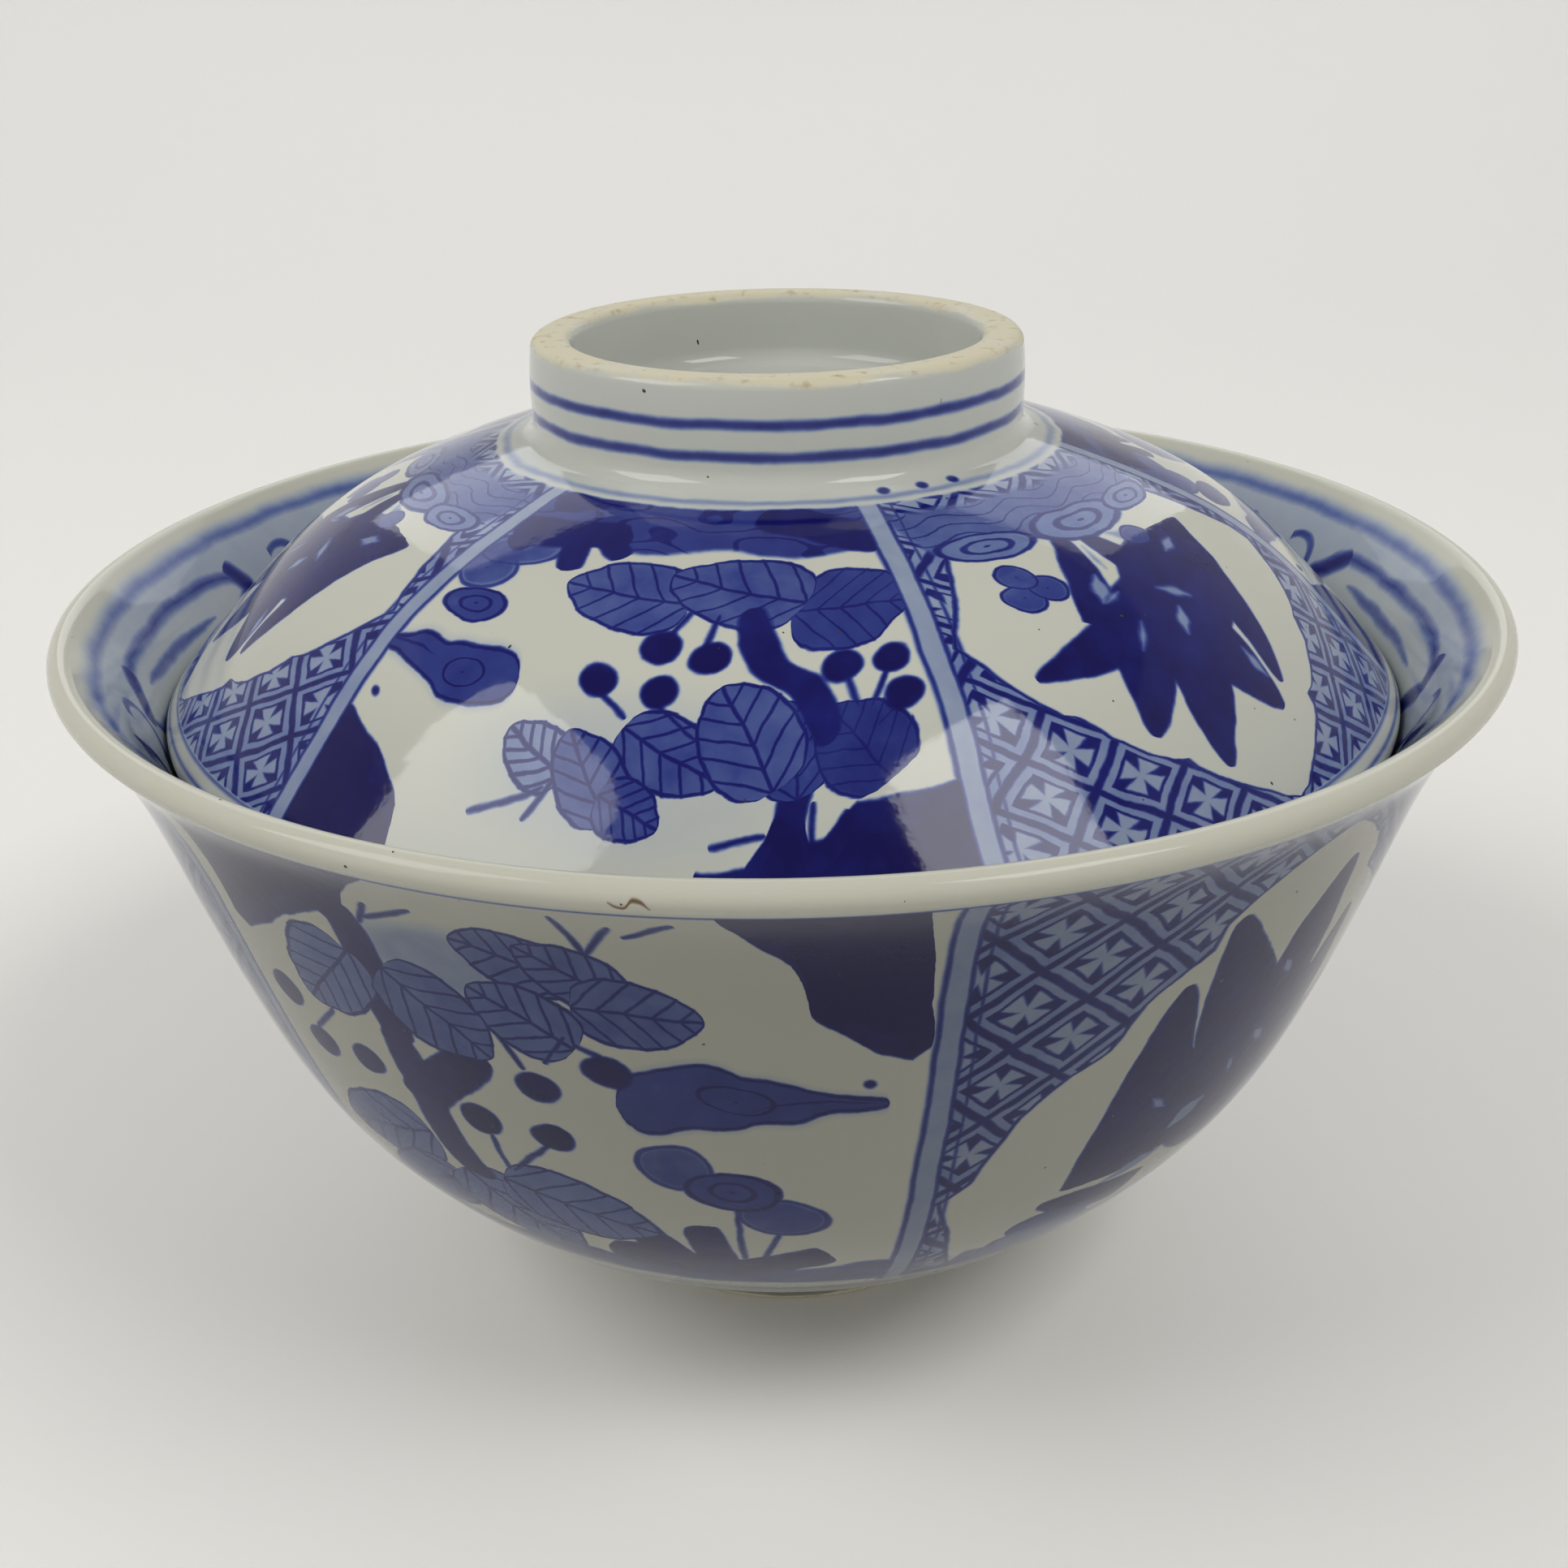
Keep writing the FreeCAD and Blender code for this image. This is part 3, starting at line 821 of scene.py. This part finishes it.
def lid_glaze():
    """The lid's panels, two lines by its rim, and a white finger ring with dots, two lines and a bare top."""
    g = Glaze("painted_lid", LID_LEAFY_ANGLE)
    s = g.distance
    leafy = panel_group("lid_leafy", leafy_panel, LID_LEAFY)
    g.panels(leafy, panel_group("lid_reserve", reserve_panel, LID_RESERVE))
    edge = g.math("MULTIPLY_ADD", g.wander[0], 1.2, s)
    g.lay(0.03, g.fade(edge, RING_FOOT, RING_FOOT + 0.5))
    g.band(0.26, edge, RING_FOOT + 1.2, 0.35, 0.35)
    g.lay(0.0, g.fade(s, 2.5, 2.3))
    outside = g.fade(s, 0.2, 0.4)
    for at in (1.0, 2.2):
        g.deepen(0.5, g.math("MULTIPLY", outside, g.hairline(g.math("ADD", s, -at), 0.14)))
    for degrees in RING_DOTS:
        g.paper = g.around(math.radians(degrees)), s
        g.disc(0.85, (0, RING_FOOT + 2), (0.45, 0.42), angle=0.4)
    ring_side = g.math("MULTIPLY", g.fade(g.radius, 17.6, 18.0), g.fade(s, 30, 31))
    level = g.math("MULTIPLY_ADD", g.wander[1], 0.5, g.height)
    for at in RING_LINES:
        line = g.hairline(g.math("ADD", level, -at), 0.34, 0.34)
        g.deepen(0.7, g.math("MULTIPLY", line, ring_side))
    bare = g.fade(g.math("MULTIPLY_ADD", g.wander[0], 1.6, g.height), RING_TOP - 0.7, RING_TOP)
    return g.finish(LID_WHITE, bare, 0.3)


def bowl_glaze():
    """The bowl's panels, lines by its lip and on its foot, the inside border, a brown flaw in the lip, and
    painted shade on its outer wall.
    """
    g = Glaze("painted_bowl", BOWL_LEAFY_ANGLE)
    s = g.distance
    leafy = panel_group("bowl_leafy", leafy_panel, BOWL_LEAFY)
    g.panels(leafy, panel_group("bowl_reserve", reserve_panel, BOWL_RESERVE))
    g.lay(0.03, g.fade(s, 48.6, 49.0))
    for at in (50.4, 57.0):
        g.band(0.7, s, at, 0.3)
    g.lay(0.0, g.fade(s, 1.7, 1.5))
    g.band(0.6, s, 1.6, 0.12)
    inside_border(g)
    bare = g.fade(g.math("MULTIPLY_ADD", g.wander[0], 0.8, g.height), 0.75, 0.45)
    g.paper = g.around(0), s
    flaw = g.stroke((-10.2, 0.1), (-7.6, 0.3), 0.16, TAPER, ((0, 0), (0.35, 0.35), (0.6, -0.3), (1, 0.3)))
    # Painted shade: the outside below the lip is darkened to 0.45 of its colour, as if in shade; the lip's
    # top and the inside keep their full colour.
    painted_shade = g.node("MapRange", s, -1.5, 2.4, 1.0, 0.45, interpolation_type="SMOOTHSTEP").outputs[0]
    return g.finish(BOWL_WHITE, bare, 0.2, g.inside(flaw, 0.12), painted_shade)


LOOPS = 8
LOOP_ENDS = (((11.6, 7.4), (16.2, 11.2)), ((-16.4, 9.8), (-12.2, 13.2)), ((-16.0, 10.4), (-14.4, 7.2)))


def inside_border(g):
    """Soft long loops with dark ends on a pale wash, in a band under the lip on the bowl's inside."""
    deep = g.math("MULTIPLY", g.distance, -1.0)
    uneven = g.math("MULTIPLY_ADD", g.wander[1], 0.8, deep)
    g.lay(0.16, g.math("MULTIPLY", g.fade(uneven, 3.2, 4.6), g.fade(uneven, 20, 15)))
    g.band(0.42, uneven, 4.6, 0.7, 1.0)
    g.paper = g.around(0, 2 * math.pi / LOOPS), uneven
    loop = g.stroke((-15.5, 10.6), (15.5, 10.4), 2.9, ROUND)
    g.lay(0.1, g.fade(loop, 0, -1.6))
    g.deepen(0.58, g.hairline(loop, 0.6, 0.9))
    g.deepen(0.5, g.inside(g.stroke((-9, 10.9), (10, 10.0), 0.6, TAPER), 0.5))
    for start, end in LOOP_ENDS:
        g.deepen(0.78, g.inside(g.stroke(start, end, 0.95, ROUND), 0.8))
    curl = g.oval((19.6, 10.2), (2.4, 2.6))
    g.deepen(0.5, g.fade(g.math("ABSOLUTE", g.math("ADD", curl, -1.0)), 0.3, 0.05))
    g.band(0.34, deep, 17.0, 0.5, 0.5)


# ---------------------------------------------------------------- stage, light and camera

FLAT, BEND, WALL_TOP = 0.5, 0.9, 1.3  # metres: the floor's flat radius, the bend's radius, the wall's top
BEND_STEPS, FLOOR_COLUMNS = 24, 96
PAPER = (0.95, 0.945, 0.925, 1)
AIM = Vector((0, 0, 0.05))  # where the lights point
WINDOW_LIGHT = (1.0, 0.99, 0.96)
COOL_LIGHT = (0.93, 0.95, 1.0)
ROOM_LIGHT = (1.0, 0.98, 0.94, 1)
ROOM_STRENGTH = 0.26
CAMERA_TILT, CAMERA_ROLL = math.radians(24.78), math.radians(-0.999)
CAMERA_PLACE = (-0.00004, -0.14689, 0.10929)  # metres
LENS, SENSOR = 41.21, 36  # mm


def floor_and_backdrop():
    """A pale round floor that curves up into a low wall on every side."""
    side = [(FLAT, 0.0)]
    for i in range(1, BEND_STEPS + 1):
        turn = math.pi / 2 * i / BEND_STEPS
        side.append((FLAT + BEND * math.sin(turn), BEND - BEND * math.cos(turn)))
    side.append((FLAT + BEND, WALL_TOP))
    angles = [2 * math.pi * c / FLOOR_COLUMNS for c in range(FLOOR_COLUMNS)]
    vertices = [(0, 0, 0)] + [(r * math.cos(a), r * math.sin(a), z) for r, z in side for a in angles]
    faces = [(0, 1 + c, 1 + (c + 1) % FLOOR_COLUMNS) for c in range(FLOOR_COLUMNS)]
    for ring in range(len(side) - 1):
        low = 1 + ring * FLOOR_COLUMNS
        high = low + FLOOR_COLUMNS
        for c in range(FLOOR_COLUMNS):
            d = (c + 1) % FLOOR_COLUMNS
            faces.append((low + c, high + c, high + d, low + d))
    mesh = bpy.data.meshes.new("floor")
    mesh.from_pydata(vertices, [], faces)
    mesh.shade_smooth()
    floor = bpy.data.objects.new("floor", mesh)
    bpy.context.scene.collection.objects.link(floor)
    material = bpy.data.materials.new("pale_paper")
    material.use_nodes = True
    shader = material.node_tree.nodes["Principled BSDF"]
    shader.inputs["Base Color"].default_value = PAPER
    shader.inputs["Roughness"].default_value = 0.9
    mesh.materials.append(material)


def window(name, azimuth, elevation, width, height, power, colour):
    """A soft rectangular light a metre away. Azimuth is from the front towards the right, in degrees."""
    a, e = math.radians(azimuth), math.radians(elevation)
    away = Vector((math.sin(a) * math.cos(e), -math.cos(a) * math.cos(e), math.sin(e)))
    data = bpy.data.lights.new(name, "AREA")
    data.shape = "RECTANGLE"
    data.size = width
    data.size_y = height
    data.energy = power
    data.color = colour
    light = bpy.data.objects.new(name, data)
    light.location = AIM + away
    light.rotation_euler = away.to_track_quat("Z", "Y").to_euler()
    light.visible_camera = False
    bpy.context.scene.collection.objects.link(light)


def studio_light():
    """Two soft windows in front, a wide cool one behind, and an even light from all round."""
    window("window_left", -70, 45, 0.54, 0.46, 3.3, WINDOW_LIGHT)
    window("window_right", 53, 52, 0.42, 0.35, 3.1, WINDOW_LIGHT)
    window("glow_behind", 180, 32, 1.1, 0.5, 1.8, COOL_LIGHT)
    world = bpy.data.worlds.new("room")
    world.use_nodes = True
    background = world.node_tree.nodes["Background"]
    background.inputs["Color"].default_value = ROOM_LIGHT
    background.inputs["Strength"].default_value = ROOM_STRENGTH
    bpy.context.scene.world = world


def camera():
    """A lens held close, looking down on the lid and tipped by one degree."""
    back = Vector((0, -math.cos(CAMERA_TILT), math.sin(CAMERA_TILT)))
    level_up = Vector((0, math.sin(CAMERA_TILT), math.cos(CAMERA_TILT)))
    level_right = Vector((1, 0, 0))
    right = level_right * math.cos(CAMERA_ROLL) + level_up * math.sin(CAMERA_ROLL)
    up = level_up * math.cos(CAMERA_ROLL) - level_right * math.sin(CAMERA_ROLL)
    data = bpy.data.cameras.new("camera")
    data.sensor_width = SENSOR
    data.lens = LENS
    data.clip_start = 0.01
    data.clip_end = 20
    made = bpy.data.objects.new("camera", data)
    turn = Matrix((right, up, back)).transposed().to_4x4()
    made.matrix_world = Matrix.Translation(CAMERA_PLACE) @ turn
    bpy.context.scene.collection.objects.link(made)
    bpy.context.scene.camera = made


def main():
    bowl = turned_piece("bowl", outside_first=True, painted_to=60, bake_share=5.0)
    lid = turned_piece("lid", outside_first=False, painted_to=47, bake_share=4.0)
    bowl.data.materials.append(bowl_glaze())
    lid.data.materials.append(lid_glaze())
    floor_and_backdrop()
    studio_light()
    camera()
    bpy.context.scene.view_settings.view_transform = "Standard"


main()
